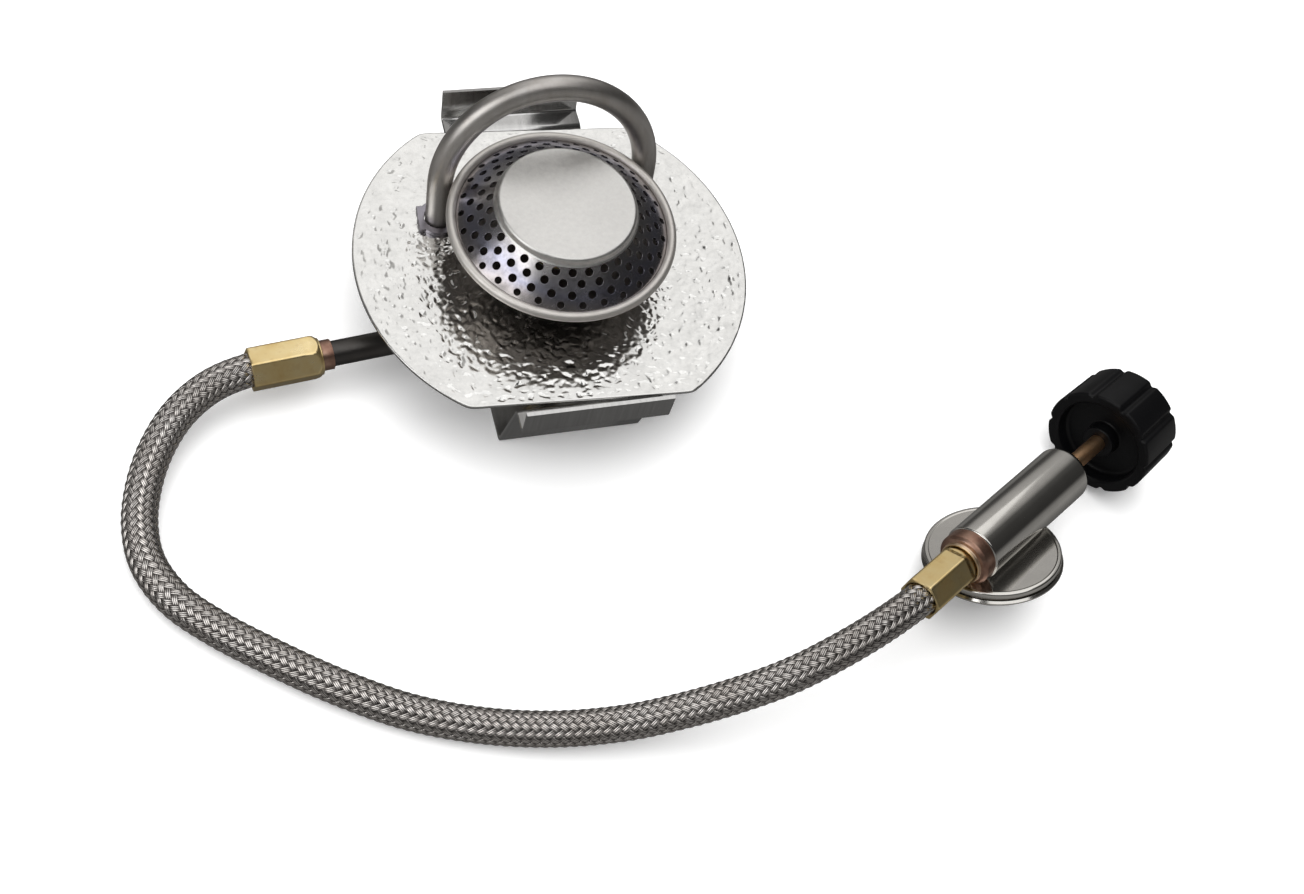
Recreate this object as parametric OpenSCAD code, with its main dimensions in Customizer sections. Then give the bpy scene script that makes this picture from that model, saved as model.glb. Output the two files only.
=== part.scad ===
// Remote-canister gas burner: a burner head with a preheat loop stands on a
// springy strap, and a braided hose joins it to a valve for a screw-on canister.
// Millimetres. The origin is on the burner's axis, at the underside of the strap.

/* [Heat reflector] */
// Diameter of the round reflector plate
plate_d = 98; // [90:1:110]
// Distance between the plate's two flats
plate_flats = 81.5; // [76:0.5:84]
// Thickness of the plate
plate_t = 1; // [0.6:0.1:1]
// Height of the plate's upper face above the ground
plate_top = 25; // [25:0.5:28]

/* [Stand strap] */
// Width of the strap
strap_w = 36; // [30:1:40]
// Thickness of the strap
strap_t = 1; // [0.8:0.1:1]
// Half length of the flat base
base_half = 36; // [30:0.5:36]
// Half distance between the outer faces of the two lips
lip_half = 47.7; // [46:0.1:52]
// Height of the lips above the plate's upper face
lip_rise = 6.8; // [4:0.1:12]

/* [Burner head] */
// Outer radius of the rolled rim
rim_r = 28; // [28:0.1:28.6]
// Height of the rim's centre above the plate
rim_rise = 14; // [13:0.5:16]
// Radius of the cap
cap_r = 16.4; // [16:0.1:16.8]
// Height of the cap's upper face above the plate
cap_rise = 22.4; // [22:0.1:24]
// Burner ports in each row
ports_per_row = 29; // [16:1:32]
// Diameter of a burner port
port_d = 2; // [1:0.1:2.2]

/* [Preheat tube] */
// Outer diameter of the bent steel tube
tube_d = 6.2; // [5:0.1:6.4]
// Radius of the arch over the head, to the tube's centreline
arch_r = 26; // [25.8:0.1:28]
// Lean of the arch away from the head's axis, in degrees
arch_lean = 12; // [8:1:14]
// Turn of the arch about the vertical, in degrees
arch_turn = 4; // [2:1:6]

/* [Hose] */
// Outer diameter of the braided hose
hose_d = 8.3; // [7:0.1:8.3]
// Distance across the flats of the brass ferrules
ferrule_af = 9.7; // [9.6:0.1:11]
// Length of a ferrule
ferrule_len = 17; // [15:1:20]

/* [Valve] */
// Radius of the valve body
body_r = 7.2; // [7:0.1:8]
// Radius of the upper disc
disc_r = 16.6; // [15:0.1:17]
// Radius of the coupling's flange
flange_r = 17.1; // [16.8:0.1:18]
// Radius of the threaded collar
collar_r = 8.9; // [8:0.1:10.4]
// Major diameter of the canister thread, 7/16 inch
thread_d = 11.11; // [11.11]
// Diameter of the spindle
spindle_d = 4.3; // [4:0.1:4.5]
// Radius of the knob
knob_r = 14.5; // [12:0.1:14.7]
// Length of the knob
knob_len = 15.8; // [15:0.1:16.5]
// Number of grooves round the knob
knob_grooves = 10; // [6:1:14]

/* [Hidden] */
$fn = 72;
gap = 0.1; // assembly clearance between fixed pieces
eps = 0.5; // overrun of cutting tools

stainless = [0.55, 0.55, 0.55];
steel = [0.45, 0.44, 0.43];
satin = [0.78, 0.77, 0.74];
alloy = [0.86, 0.86, 0.85];
brass = [0.80, 0.66, 0.36];
copper = [0.66, 0.43, 0.32];
nickel = [0.66, 0.66, 0.65];
rubber = [0.10, 0.10, 0.10];
black = [0.07, 0.07, 0.07];

plate_under = plate_top - plate_t;

// Strap: centre surface of half the bent strip, from the middle of the base outward
flange_z = plate_under - strap_t / 2;
leg_top_y = plate_flats / 2 + 0.75;
lip_y = lip_half - strap_t / 2;
lip_top = plate_top + lip_rise;
rivet_y = 12;
rivet_r = 1.5;
strap_shift = [-0.5, 0.3, 0];
strap_turn = 3; // the strap sits slightly turned against the plate's flats

// Head heights
block_foot_t = 2;
block_r = 9.1;
spigot_z = 11.4;
spigot_top = 14;
mix_r = 9;
mix_wall = 0.8;
mix_top = plate_top + 7;
nut_top = plate_top + 3;
rim_z = plate_top + rim_rise;
rim_roll = 1.15;
cap_top = plate_top + cap_rise;
cap_t = 1.3;
cone_t = 0.6;
cone_low = [rim_r - 2 * rim_roll - 0.25, rim_z];
cone_high = [cap_r - 0.5, cap_top - cap_t - cone_t / 2];
port_rows = [18.1, 20.2, 22.4, 24.3];
port_phase = 3.6;

// Preheat tube: unit vectors of the arch and its two feet on the plate
tube_r = tube_d / 2;
feed_z = 12;
inlet_z = 6.6;
arch_c = [-1.1, 17.5, plate_top + 11];
arch_x = [cos(arch_turn), sin(arch_turn), 0];
arch_n = [-sin(arch_turn), cos(arch_turn), 0];
arch_up = cos(arch_lean) * [0, 0, 1] + sin(arch_lean) * arch_n;
left_shoulder = arch_c - arch_r * arch_x;
right_shoulder = arch_c + arch_r * arch_x;
function leg_at(shoulder, z) = shoulder - arch_up * (shoulder.z - z) / arch_up.z;
left_low = leg_at(left_shoulder, inlet_z);
right_low = leg_at(right_shoulder, feed_z);
inlet_dir = unit([-left_low.x, -left_low.y, 0]);
inlet_reach = 5.5;

// Burner end of the hose: the feed tube, nipple and ferrule lie on one line
feed_turn = 9;
feed_dir = [cos(feed_turn), sin(feed_turn), 0];
feed_end = [-55.6, -15.4, feed_z];
nipple_len = 2.7;
hose_depth = 11;
hose_r = hose_d / 2;

// Valve: local +X runs along the body to the knob, local +Z out of the upper disc
valve_at = [94.7, -84.3, 20.7];
valve_turn = [-26, 6, 32];
body_back = -9.6;
body_front = 32;
end_round = 2.6;
disc_round = 0.9;
disc_top = -4.95;
disc_low = -6.4;
groove_low = -6.9;
flange_low = -8.2;
collar_low = -15.8;
ferrule2_x = -13.4;
seat_x = 8;
bush_x = 26;
needle_x = 9;
spindle_end = 58.6;
knob_back = 46.6;
knob_floor = 50.6;
knob_phase = 25;

// Route of the hose's centreline between the ferrules
hose_route = [
    [-64.2, -16.8, 12], [-75.1, -18.5, 12], [-84, -21.5, 11], [-91.5, -27, 9.5], [-97, -34.5, 8],
    [-100.8, -43.5, 6.4], [-102.5, -53, 5], [-101.5, -62.5, 4.3], [-96.5, -72, 4.2],
    [-88, -80.2, 4.2], [-76, -89, 4.2], [-63, -97.5, 4.2], [-49, -105, 4.2], [-34.1, -110.4, 4.8],
    [-18.5, -114, 6.3], [-3.1, -115.7, 8.8], [10.2, -115.8, 12.2], [22.5, -115.2, 16.2],
    [34.5, -113.7, 20.2], [46, -110.5, 22.8], [57.7, -106, 24.2], [69.1, -100.3, 23.9],
    [78.3, -94.5, 22.7]];

// Vector helpers
function unit(v) = v / norm(v);
function clamp1(x) = max(-1, min(1, x));
function between(a, b) = acos(clamp1(unit(a) * unit(b)));
function on_cone(r) = cone_high + (cone_low - cone_high) * (r - cone_high.x) / (cone_low.x - cone_high.x);

// Carries its children from the +Z axis to the line through p along dir
module along(p, dir) {
    translate(p)
        rotate([0, acos(clamp1(unit(dir).z)), atan2(dir.y, dir.x)])
            children();
}

// Centre points of a bend of radius r at corner b of the corner points a, b, c
function bend_centres(a, b, c, r, steps) =
    let (dir = unit(b - a), out = unit(c - b), turn = between(dir, out),
         side = unit(out - dir * (dir * out)), start = b - dir * r * tan(turn / 2))
    [for (k = [0 : steps]) let (t = turn * k / steps)
        start + dir * r * sin(t) + side * r * (1 - cos(t))];

// Centreline through corner points whose inner corners are bent; a repeated point is kept once
function bent_line(pts, radii, steps) =
    let (all = [pts[0],
                for (i = [1 : len(pts) - 2])
                    each bend_centres(pts[i - 1], pts[i], pts[i + 1], radii[i], steps[i]),
                pts[len(pts) - 1]])
    [for (i = [0 : len(all) - 1]) if (i == 0 || norm(all[i] - all[i - 1]) > 0.01) all[i]];

// Side vectors of the rings, each turned as little as possible from the one before
function route_dir(pts, i) = unit(pts[min(i + 1, len(pts) - 1)] - pts[max(i - 1, 0)]);
function carried(side, dir) = unit(side - dir * (dir * side));
function ring_sides(pts, i, side) =
    i == len(pts) ? []
    : let (s = carried(side, route_dir(pts, i))) concat([s], ring_sides(pts, i + 1, s));

// Solid of radius r with the given number of sides, swept along a centreline
module sweep(pts, r, sides) {
    across = ring_sides(pts, 0, [0, 0, 1]);
    rings = len(pts);
    polyhedron(
        points = [for (i = [0 : rings - 1]) let (s = across[i], u = cross(s, route_dir(pts, i)))
                  for (k = [0 : sides - 1])
                      pts[i] + r * (s * cos(360 * k / sides) + u * sin(360 * k / sides))],
        faces = concat(
            [[for (k = [sides - 1 : -1 : 0]) k]],
            [for (i = [0 : rings - 2], k = [0 : sides - 1]) let (n = (k + 1) % sides)
                [i * sides + n, (i + 1) * sides + n, (i + 1) * sides + k, i * sides + k]],
            [[for (k = [0 : sides - 1]) (rings - 1) * sides + k]]),
        convexity = 8);
}

// Closed outline of a bent strip of thickness t about a polyline
function strip_normal(pts, i) = let (d = unit(pts[i + 1] - pts[i])) [-d.y, d.x];
function strip_mitre(pts, i, t) =
    i == 0 ? strip_normal(pts, 0) * t / 2
    : i == len(pts) - 1 ? strip_normal(pts, i - 1) * t / 2
    : let (a = strip_normal(pts, i - 1), b = strip_normal(pts, i), m = unit(a + b)) m * t / 2 / (m * a);
function strip_outline(pts, t) = concat(
    [for (i = [0 : len(pts) - 1]) pts[i] + strip_mitre(pts, i, t)],
    [for (i = [len(pts) - 1 : -1 : 0]) pts[i] - strip_mitre(pts, i, t)]);

// Round plate with two flats, an opening for the mixing tube and one for each leg of the loop
module heat_reflector() {
    color(alloy)
        difference() {
            translate([0, 0, plate_under])
                intersection() {
                    cylinder(d = plate_d, h = plate_t, $fn = 120);
                    translate([-plate_d, -plate_flats / 2, 0])
                        cube([2 * plate_d, plate_flats, plate_t]);
                }
            translate([0, 0, plate_under - eps])
                cylinder(r = mix_r + gap, h = plate_t + 2 * eps);
            for (shoulder = [left_shoulder, right_shoulder])
                translate(leg_at(shoulder, plate_under) - [0, 0, eps])
                    cylinder(r = tube_r + 0.9, h = plate_t + 2 * eps);
        }
}

// Hat-shaped spring strap: flat base, sloping legs, flanges under the plate and upright lips
module stand_strap() {
    half = [[base_half - strap_t / 2, strap_t / 2], [leg_top_y, flange_z], [lip_y, flange_z],
            [lip_y, lip_top]];
    path = concat([for (i = [3 : -1 : 0]) [-half[i].x, half[i].y]], half);
    color(stainless)
        difference() {
            translate(strap_shift)
                rotate([0, 0, strap_turn])
                    translate([-strap_w / 2, 0, 0])
                        rotate([90, 0, 90])
                            linear_extrude(strap_w)
                                polygon(strip_outline(path, strap_t));
            for (side = [-1, 1])
                translate([0, side * rivet_y, -eps]) {
                    cylinder(r = rivet_r + gap, h = strap_t + 2 * eps);
                    cylinder(r1 = rivet_r + gap + 1.6, r2 = rivet_r + gap, h = eps + 0.8);
                }
        }
}

// Two rivets that hold the jet block to the strap, flush below and domed above
module stand_rivets() {
    head_z = strap_t + block_foot_t;
    color(steel)
        for (side = [-1, 1])
            translate([0, side * rivet_y, 0])
                rotate_extrude()
                    polygon([[0, 0.1], [2.2, 0.1], [rivet_r, 0.75], [rivet_r, head_z], [2.8, head_z],
                             [2.6, head_z + 0.6], [2, head_z + 1.05], [1, head_z + 1.3],
                             [0, head_z + 1.35]]);
}

// Brass block on the strap: takes the tube from the side and carries the jet on top
module jet_block() {
    color(brass)
        difference() {
            union() {
                translate([0, 0, strap_t]) {
                    cylinder(r = block_r, h = spigot_z - strap_t);
                    cylinder(r = mix_r - mix_wall - gap / 2, h = spigot_top - strap_t);
                    translate([-5, -rivet_y, 0])
                        cube([10, 2 * rivet_y, block_foot_t]);
                    for (side = [-1, 1])
                        translate([0, side * rivet_y, 0])
                            cylinder(r = 5, h = block_foot_t);
                }
                along([0, 0, inlet_z], -inlet_dir)
                    cylinder(r = tube_r + 1.6, h = block_r + 3);
            }
            along([0, 0, inlet_z] - inlet_dir * inlet_reach, -inlet_dir)
                cylinder(r = tube_r + 0.05, h = block_r + 3);
            along([0, 0, inlet_z], -inlet_dir)
                cylinder(r = 1.2, h = block_r, $fn = 32);
            translate([0, 0, inlet_z])
                cylinder(r = 1.5, h = spigot_top, $fn = 32);
            translate([0, 0, spigot_z - 0.5])
                cylinder(r = 2.55, h = spigot_top, $fn = 40);
            for (side = [-1, 1])
                translate([0, side * rivet_y, 0])
                    cylinder(r = rivet_r + gap, h = spigot_z);
        }
}

// Sintered filter in the passage below the jet
module jet_filter() {
    color(copper)
        translate([0, 0, inlet_z + 1.6])
            cylinder(r = 1.45, h = 1.6, $fn = 32);
}

// Sealing washer between the block and the jet
module jet_washer() {
    color(copper)
        translate([0, 0, spigot_top])
            difference() {
                cylinder(r = 3.9, h = 0.5);
                translate([0, 0, -eps])
                    cylinder(r = 2.6, h = 2);
            }
}

// Screw-in jet with a hexagon and a fine orifice
module gas_jet() {
    jet_z = spigot_top + 0.5;
    color(brass)
        difference() {
            union() {
                translate([0, 0, spigot_z])
                    cylinder(r = 2.45, h = jet_z - spigot_z + 1, $fn = 40);
                translate([0, 0, jet_z])
                    cylinder(d = 7 / cos(30), h = 2.2, $fn = 6);
                translate([0, 0, jet_z + 2.2])
                    cylinder(r1 = 2.4, r2 = 1.3, h = 1.6, $fn = 40);
            }
            translate([0, 0, spigot_z - eps])
                cylinder(r = 0.9, h = jet_z - spigot_z + 3.2, $fn = 32);
            translate([0, 0, jet_z])
                cylinder(r = 0.17, h = 6, $fn = 16);
        }
}

// Mixing tube with air holes, and a shoulder under the plate
module mixing_tube() {
    air_z = 19;
    air_holes = 8;
    color(satin)
        difference() {
            union() {
                translate([0, 0, spigot_z])
                    cylinder(r = mix_r, h = mix_top - spigot_z);
                translate([0, 0, plate_under - 1.2])
                    cylinder(r = mix_r + 2.6, h = 1.2);
            }
            translate([0, 0, spigot_z - eps])
                cylinder(r = mix_r - mix_wall, h = mix_top);
            for (i = [0 : air_holes - 1])
                rotate([0, 90, (i + 0.5) * 360 / air_holes])
                    translate([-air_z, 0, mix_r / 2])
                        cylinder(d = 3.8, h = mix_r, $fn = 32);
        }
}

// Hexagonal nut that clamps the plate to the mixing tube
module reflector_nut() {
    color(steel)
        translate([0, 0, plate_top])
            difference() {
                cylinder(d = 24 / cos(30), h = nut_top - plate_top, $fn = 6);
                translate([0, 0, -eps])
                    cylinder(r = mix_r + gap / 2, h = 5);
            }
}

// Pressed bowl with a neck over the mixing tube and a rolled rim
module burner_cup() {
    neck_z = nut_top + gap;
    neck_r = mix_r + gap / 2;
    wall = 0.7;
    bowl_r = rim_r - rim_roll;
    bowl_z = mix_top + 0.4;
    steps = 8;
    bowl = [for (i = [0 : steps]) let (a = 90 * i / steps)
            [12.5 + (bowl_r - 12.5) * sin(a), bowl_z + (rim_z - bowl_z) * (1 - cos(a))]];
    color(steel) {
        rotate_extrude($fn = 120)
            polygon(concat([[neck_r, neck_z], [neck_r + wall, neck_z], [neck_r + wall, bowl_z - wall],
                            [12.5, bowl_z - wall]],
                           [for (p = bowl) [p.x + wall / 2, p.y - wall / 2]],
                           [for (i = [steps : -1 : 0]) [bowl[i].x - wall / 2, bowl[i].y + wall / 2]],
                           [[neck_r, bowl_z + wall / 2]]));
        translate([0, 0, rim_z])
            rotate_extrude($fn = 120)
                translate([bowl_r, 0])
                    circle(r = rim_roll, $fn = 32);
    }
}

// Perforated burner cone with a flat land that carries the cap
module flame_cone() {
    slope = cone_low - cone_high;
    across = unit([slope.y, -slope.x]) * cone_t / 2;
    land_z = cap_top - cap_t;
    color(stainless)
        difference() {
            rotate_extrude($fn = 120)
                polygon([cone_low - across, cone_low + across, cone_high + across,
                         [12, land_z - cone_t], [12, land_z], [cone_high.x - across.x, land_z]]);
            for (row = [0 : len(port_rows) - 1])
                for (i = [0 : ports_per_row - 1])
                    rotate([0, 0, port_phase + (i - row / 2) * 360 / ports_per_row])
                        translate([on_cone(port_rows[row]).x, 0, on_cone(port_rows[row]).y])
                            rotate([0, atan2(-slope.y, slope.x), 0])
                                cylinder(d = row == 3 ? 0.85 * port_d : port_d, h = 3, center = true,
                                         $fn = 24);
        }
}

// Plain round cap with a rounded edge
module burner_cap() {
    round_r = 0.9;
    color(satin)
        rotate_extrude($fn = 120)
            polygon(concat([[0, cap_top], [0, cap_top - cap_t]], [[cap_r - 0.25, cap_top - cap_t]],
                           [for (a = [0 : 15 : 90]) [cap_r - round_r + round_r * cos(a),
                                                     cap_top - round_r + round_r * sin(a)]]));
}

// One bent tube: feed, right leg, arch over the head, left leg and inlet of the jet block
module preheat_tube() {
    feed_bend = feed_end + feed_dir * 20;
    corner = [right_low.x, -14.5, feed_z];
    inlet_end = [0, 0, inlet_z] - inlet_dir * (inlet_reach + 0.05);
    line = bent_line([feed_end, feed_bend, corner, right_low, right_shoulder + arch_r * arch_up,
                      left_shoulder + arch_r * arch_up, left_low, inlet_end],
                     [0, 25, 14, 9.5, arch_r, arch_r, 9, 0], [0, 1, 7, 7, 9, 9, 7, 0]);
    last = len(line) - 1;
    bore = concat([line[0] - feed_dir], [for (i = [1 : last - 1]) line[i]], [line[last] + inlet_dir]);
    color(steel)
        difference() {
            sweep(line, tube_r, 16);
            sweep(bore, tube_r - 1, 8);
        }
}

// Two small plates that close the reflector's openings round the legs
module tube_clips() {
    color(steel)
        for (shoulder = [left_shoulder, right_shoulder])
            difference() {
                translate(leg_at(shoulder, plate_top)) {
                    translate([-4.9, -3.6, 0])
                        cube([9.8, 7.2, 1.1]);
                    cylinder(r = 5, h = 1.1);
                }
                translate(leg_at(shoulder, plate_top) - [0, 0, eps])
                    cylinder(r = tube_r + 0.4, h = 2 + eps);
            }
}

// Hexagonal ferrule with a hose socket, mouth at the origin and closed end towards +Z
module ferrule() {
    rotate([0, 0, 30])
        difference() {
            intersection() {
                cylinder(d = ferrule_af / cos(30), h = ferrule_len, $fn = 6);
                cylinder(r1 = ferrule_af / 2 + 0.2, r2 = ferrule_af / 2 + 8, h = ferrule_len);
                translate([0, 0, ferrule_len])
                    rotate([180, 0, 0])
                        cylinder(r1 = ferrule_af / 2 + 0.2, r2 = ferrule_af / 2 + 8, h = ferrule_len);
            }
            translate([0, 0, -eps])
                cylinder(r = hose_r + gap / 2, h = hose_depth + eps);
            cylinder(r = 3.2, h = ferrule_len + eps);
        }
}

// Nipple with its shoulder outside the ferrule and its stem inside, stem towards -Z
module nipple(shoulder_r, shoulder_len) {
    stem = ferrule_len - hose_depth;
    difference() {
        union() {
            cylinder(r = shoulder_r, h = shoulder_len);
            translate([0, 0, -stem])
                cylinder(r = 3.15, h = stem + 1);
        }
        translate([0, 0, -stem - eps])
            cylinder(r = 1.6, h = stem + shoulder_len + 2 * eps, $fn = 32);
    }
}

// Nipple brazed to the end of the feed tube
module nipple_burner() {
    color(copper)
        along(feed_end - feed_dir * nipple_len, feed_dir)
            nipple(3.7, nipple_len);
}

// Ferrule at the burner's end of the hose
module ferrule_burner() {
    color(brass)
        along(feed_end - feed_dir * (nipple_len + ferrule_len), feed_dir)
            ferrule();
}

// Braided hose, swept along its route
module braided_hose() {
    color(stainless)
        sweep(hose_route, hose_r, 12);
}

// Carries its children from the valve's own frame to its place on the ground
module at_valve() {
    translate(valve_at)
        rotate(valve_turn)
            children();
}

// Turns a piece drawn along +Z to lie along the valve's +X
module along_valve(x) {
    translate([x, 0, 0])
        rotate([0, 90, 0])
            children();
}

// Ferrule at the valve's end of the hose
module ferrule_valve() {
    color(brass)
        at_valve()
            along_valve(ferrule2_x - ferrule_len)
                ferrule();
}

// Nipple between the ferrule and the valve body
module nipple_valve() {
    color(brass)
        at_valve()
            along_valve(ferrule2_x)
                nipple(4.6, body_back - ferrule2_x);
}

// Brazed collar round the nipple, against the end of the valve body
module union_collar() {
    color(copper)
        at_valve()
            along_valve(ferrule2_x - 0.4)
                rotate_extrude()
                    polygon([[4.7, 1.2], [5.9, 1.2], [5.9, 0], [6.4, 0], [6.8, 0.5], [6.8, 2.9],
                             [6.4, 3.3], [6.4, body_back - ferrule2_x + 0.4],
                             [4.7, body_back - ferrule2_x + 0.4]]);
}

// Valve body: round barrel on a disc, drilled for the gas, the seat, the spindle and the gland
module valve_body() {
    color(nickel)
        at_valve()
            difference() {
                union() {
                    along_valve(body_back)
                        rotate_extrude()
                            polygon(concat(
                                [[0, 0], [body_r - 0.6, 0], [body_r, 0.6]],
                                [for (a = [0 : 15 : 90])
                                    [body_r - end_round * (1 - cos(a)),
                                     body_front - body_back - end_round * (1 - sin(a))]],
                                [[0, body_front - body_back]]));
                    rotate_extrude()
                        polygon(concat(
                            [[0, disc_low], [disc_r - 0.3, disc_low]],
                            [for (a = [0 : 22.5 : 90])
                                [disc_r - disc_round * (1 - cos(a)), disc_top - disc_round * (1 - sin(a))]],
                            [[0, disc_top]]));
                    translate([0, 0, groove_low])
                        cylinder(r = disc_r - 1.2, h = 2);
                }
                translate([0, 0, groove_low - 5])
                    cylinder(r = flange_r + 0.4, h = 5);
                along_valve(ferrule2_x - 0.5)
                    cylinder(r = 6.9, h = body_back - ferrule2_x + 0.5);
                along_valve(body_back - eps)
                    cylinder(r = 1.6, h = seat_x - body_back, $fn = 32);
                along_valve(seat_x - 2.5)
                    cylinder(r = 2.6, h = 2.5 + eps, $fn = 40);
                along_valve(seat_x)
                    cylinder(r = spindle_d / 2 + 0.4, h = 60, $fn = 48);
                along_valve(bush_x - 1.6)
                    cylinder(r = 4, h = 60, $fn = 48);
                translate([2, 0, groove_low - 1])
                    cylinder(r = 1.1, h = 1 - groove_low, $fn = 32);
            }
}

// Seat that the spindle's needle closes
module valve_seat() {
    color(brass)
        at_valve()
            along_valve(seat_x - 2.5)
                difference() {
                    cylinder(r = 2.55, h = 2.4, $fn = 40);
                    translate([0, 0, -eps])
                        cylinder(r = 0.7, h = 4, $fn = 32);
                }
}

// Canister coupling: flange against the disc and a collar with the canister's thread
module coupling_ring() {
    color(nickel)
        at_valve()
            difference() {
                rotate_extrude()
                    polygon([[0, groove_low - 0.05], [flange_r - 0.5, groove_low - 0.05],
                             [flange_r, groove_low - 0.5], [flange_r, flange_low + 0.4],
                             [flange_r - 0.4, flange_low], [collar_r + 0.8, flange_low],
                             [collar_r, flange_low - 0.8], [collar_r, collar_low + 0.5],
                             [collar_r - 0.5, collar_low], [0, collar_low]]);
                translate([0, 0, collar_low - eps])
                    cylinder(d = thread_d, h = 6.6 + eps, $fn = 64);
                translate([0, 0, collar_low + 6])
                    cylinder(r = 4.2, h = 1.5, $fn = 48);
                translate([2, 0, flange_low - 4])
                    cylinder(r = 0.9, h = 10, $fn = 32);
                translate([0, 0, collar_low + 6])
                    cylinder(r = 1.05, h = 4, $fn = 32);
            }
}

// Ring that seals against the canister's valve
module canister_seal() {
    color(rubber)
        at_valve()
            translate([0, 0, collar_low + 6.65])
                rotate_extrude()
                    translate([3.4, 0])
                        intersection() {
                            circle(r = 0.75, $fn = 32);
                            translate([-1, 0])
                                square([2, 1]);
                        }
}

// Pin that opens the canister's valve
module depressor_pin() {
    color(brass)
        at_valve()
            translate([0, 0, collar_low + 6.7])
                cylinder(r = 1, h = groove_low - 0.1 - (collar_low + 6.7), $fn = 32);
}

// Needle spindle
module valve_spindle() {
    r = spindle_d / 2;
    color(brass)
        at_valve()
            along_valve(0)
                rotate_extrude($fn = 48)
                    polygon([[0, needle_x - 0.9], [0.5, needle_x - 0.9], [0.9, needle_x],
                             [r, needle_x + 3], [r, spindle_end - 0.4], [r - 0.4, spindle_end],
                             [0, spindle_end]]);
}

// Gland bush that guides the spindle
module gland_bush() {
    color(brass)
        at_valve()
            along_valve(bush_x)
                difference() {
                    cylinder(r = 3.95, h = body_front - bush_x - 0.6, $fn = 48);
                    translate([0, 0, -eps])
                        cylinder(r = spindle_d / 2 + 0.05, h = 20, $fn = 48);
                }
}

// Seal behind the gland bush
module spindle_seal() {
    color(rubber)
        at_valve()
            along_valve(bush_x - 0.8)
                rotate_extrude()
                    translate([spindle_d / 2 + 0.85, 0])
                        circle(r = 0.75, $fn = 24);
}

// Fluted knob with a hollow back and a hub on the spindle
module control_knob() {
    edge = 1.2;
    taper = 0.4;
    length = knob_len;
    color(black)
        at_valve()
            along_valve(knob_back)
                difference() {
                    rotate_extrude($fn = 96)
                        polygon(concat(
                            [[0, 0], [knob_r - 0.8, 0], [knob_r, 0.8]],
                            [for (a = [0 : 15 : 90])
                                [knob_r - taper - edge * (1 - cos(a)), length - edge * (1 - sin(a))]],
                            [[0, length]]));
                    difference() {
                        translate([0, 0, -eps])
                            cylinder(r = knob_r - 3.2, h = knob_floor - knob_back + eps);
                        cylinder(r = 4.2, h = knob_len);
                    }
                    translate([0, 0, -eps])
                        cylinder(r = spindle_d / 2 + 0.04, h = spindle_end - knob_back + eps + 0.2,
                                 $fn = 48);
                    for (i = [0 : knob_grooves - 1])
                        rotate([0, 0, knob_phase + i * 360 / knob_grooves])
                            translate([knob_r + 0.4, 0, -eps])
                                cylinder(r = 1.6, h = knob_len + 2 * eps, $fn = 24);
                }
}

heat_reflector();
stand_strap();
stand_rivets();
jet_block();
jet_filter();
jet_washer();
gas_jet();
mixing_tube();
reflector_nut();
burner_cup();
flame_cone();
burner_cap();
preheat_tube();
tube_clips();
nipple_burner();
ferrule_burner();
braided_hose();
ferrule_valve();
nipple_valve();
union_collar();
valve_body();
valve_seat();
coupling_ring();
canister_seal();
depressor_pin();
valve_spindle();
gland_bush();
spindle_seal();
control_knob();
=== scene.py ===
"""Looks of the remote-canister gas burner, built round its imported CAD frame.

Lengths are written in millimetres and turned to metres by MM. The frame's origin
is on the burner's axis, at the underside of the stand strap, with +Z up.
"""

import math

import bmesh
import bpy
import numpy as np
from mathutils import Euler, Matrix, Vector, noise


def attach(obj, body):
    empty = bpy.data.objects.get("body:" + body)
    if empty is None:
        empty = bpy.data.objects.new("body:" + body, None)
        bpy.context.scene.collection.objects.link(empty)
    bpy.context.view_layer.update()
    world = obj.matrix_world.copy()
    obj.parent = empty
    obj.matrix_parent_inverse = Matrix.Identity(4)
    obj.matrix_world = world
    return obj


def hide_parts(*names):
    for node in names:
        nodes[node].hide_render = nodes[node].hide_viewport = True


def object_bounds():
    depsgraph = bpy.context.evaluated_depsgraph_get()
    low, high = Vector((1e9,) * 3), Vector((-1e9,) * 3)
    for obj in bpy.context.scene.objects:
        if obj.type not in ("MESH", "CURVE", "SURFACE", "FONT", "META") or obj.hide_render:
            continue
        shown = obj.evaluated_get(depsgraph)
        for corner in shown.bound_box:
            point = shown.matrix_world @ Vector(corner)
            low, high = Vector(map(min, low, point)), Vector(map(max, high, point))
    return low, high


MM = 0.001
TAU = 2 * math.pi
LEAST_R = 0.0005  # radius given to the points on a turned piece's axis

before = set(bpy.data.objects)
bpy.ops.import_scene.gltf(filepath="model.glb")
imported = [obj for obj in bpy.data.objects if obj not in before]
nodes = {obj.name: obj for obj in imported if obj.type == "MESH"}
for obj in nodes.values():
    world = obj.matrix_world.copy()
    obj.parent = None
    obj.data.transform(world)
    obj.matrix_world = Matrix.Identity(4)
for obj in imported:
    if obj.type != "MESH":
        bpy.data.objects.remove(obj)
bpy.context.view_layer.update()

# ---------------------------------------------------------------- camera

CAMERA_AT = (-96.95, -238.33, 360.94)
CAMERA_RIGHT = (0.9574, -0.2046, 0.2036)
CAMERA_UP = (0.0789, 0.8640, 0.4972)
CAMERA_BACK = (-0.2776, -0.4600, 0.8434)
SENSOR_WIDTH = 36
FOCAL_LENGTH = 46.93


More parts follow.
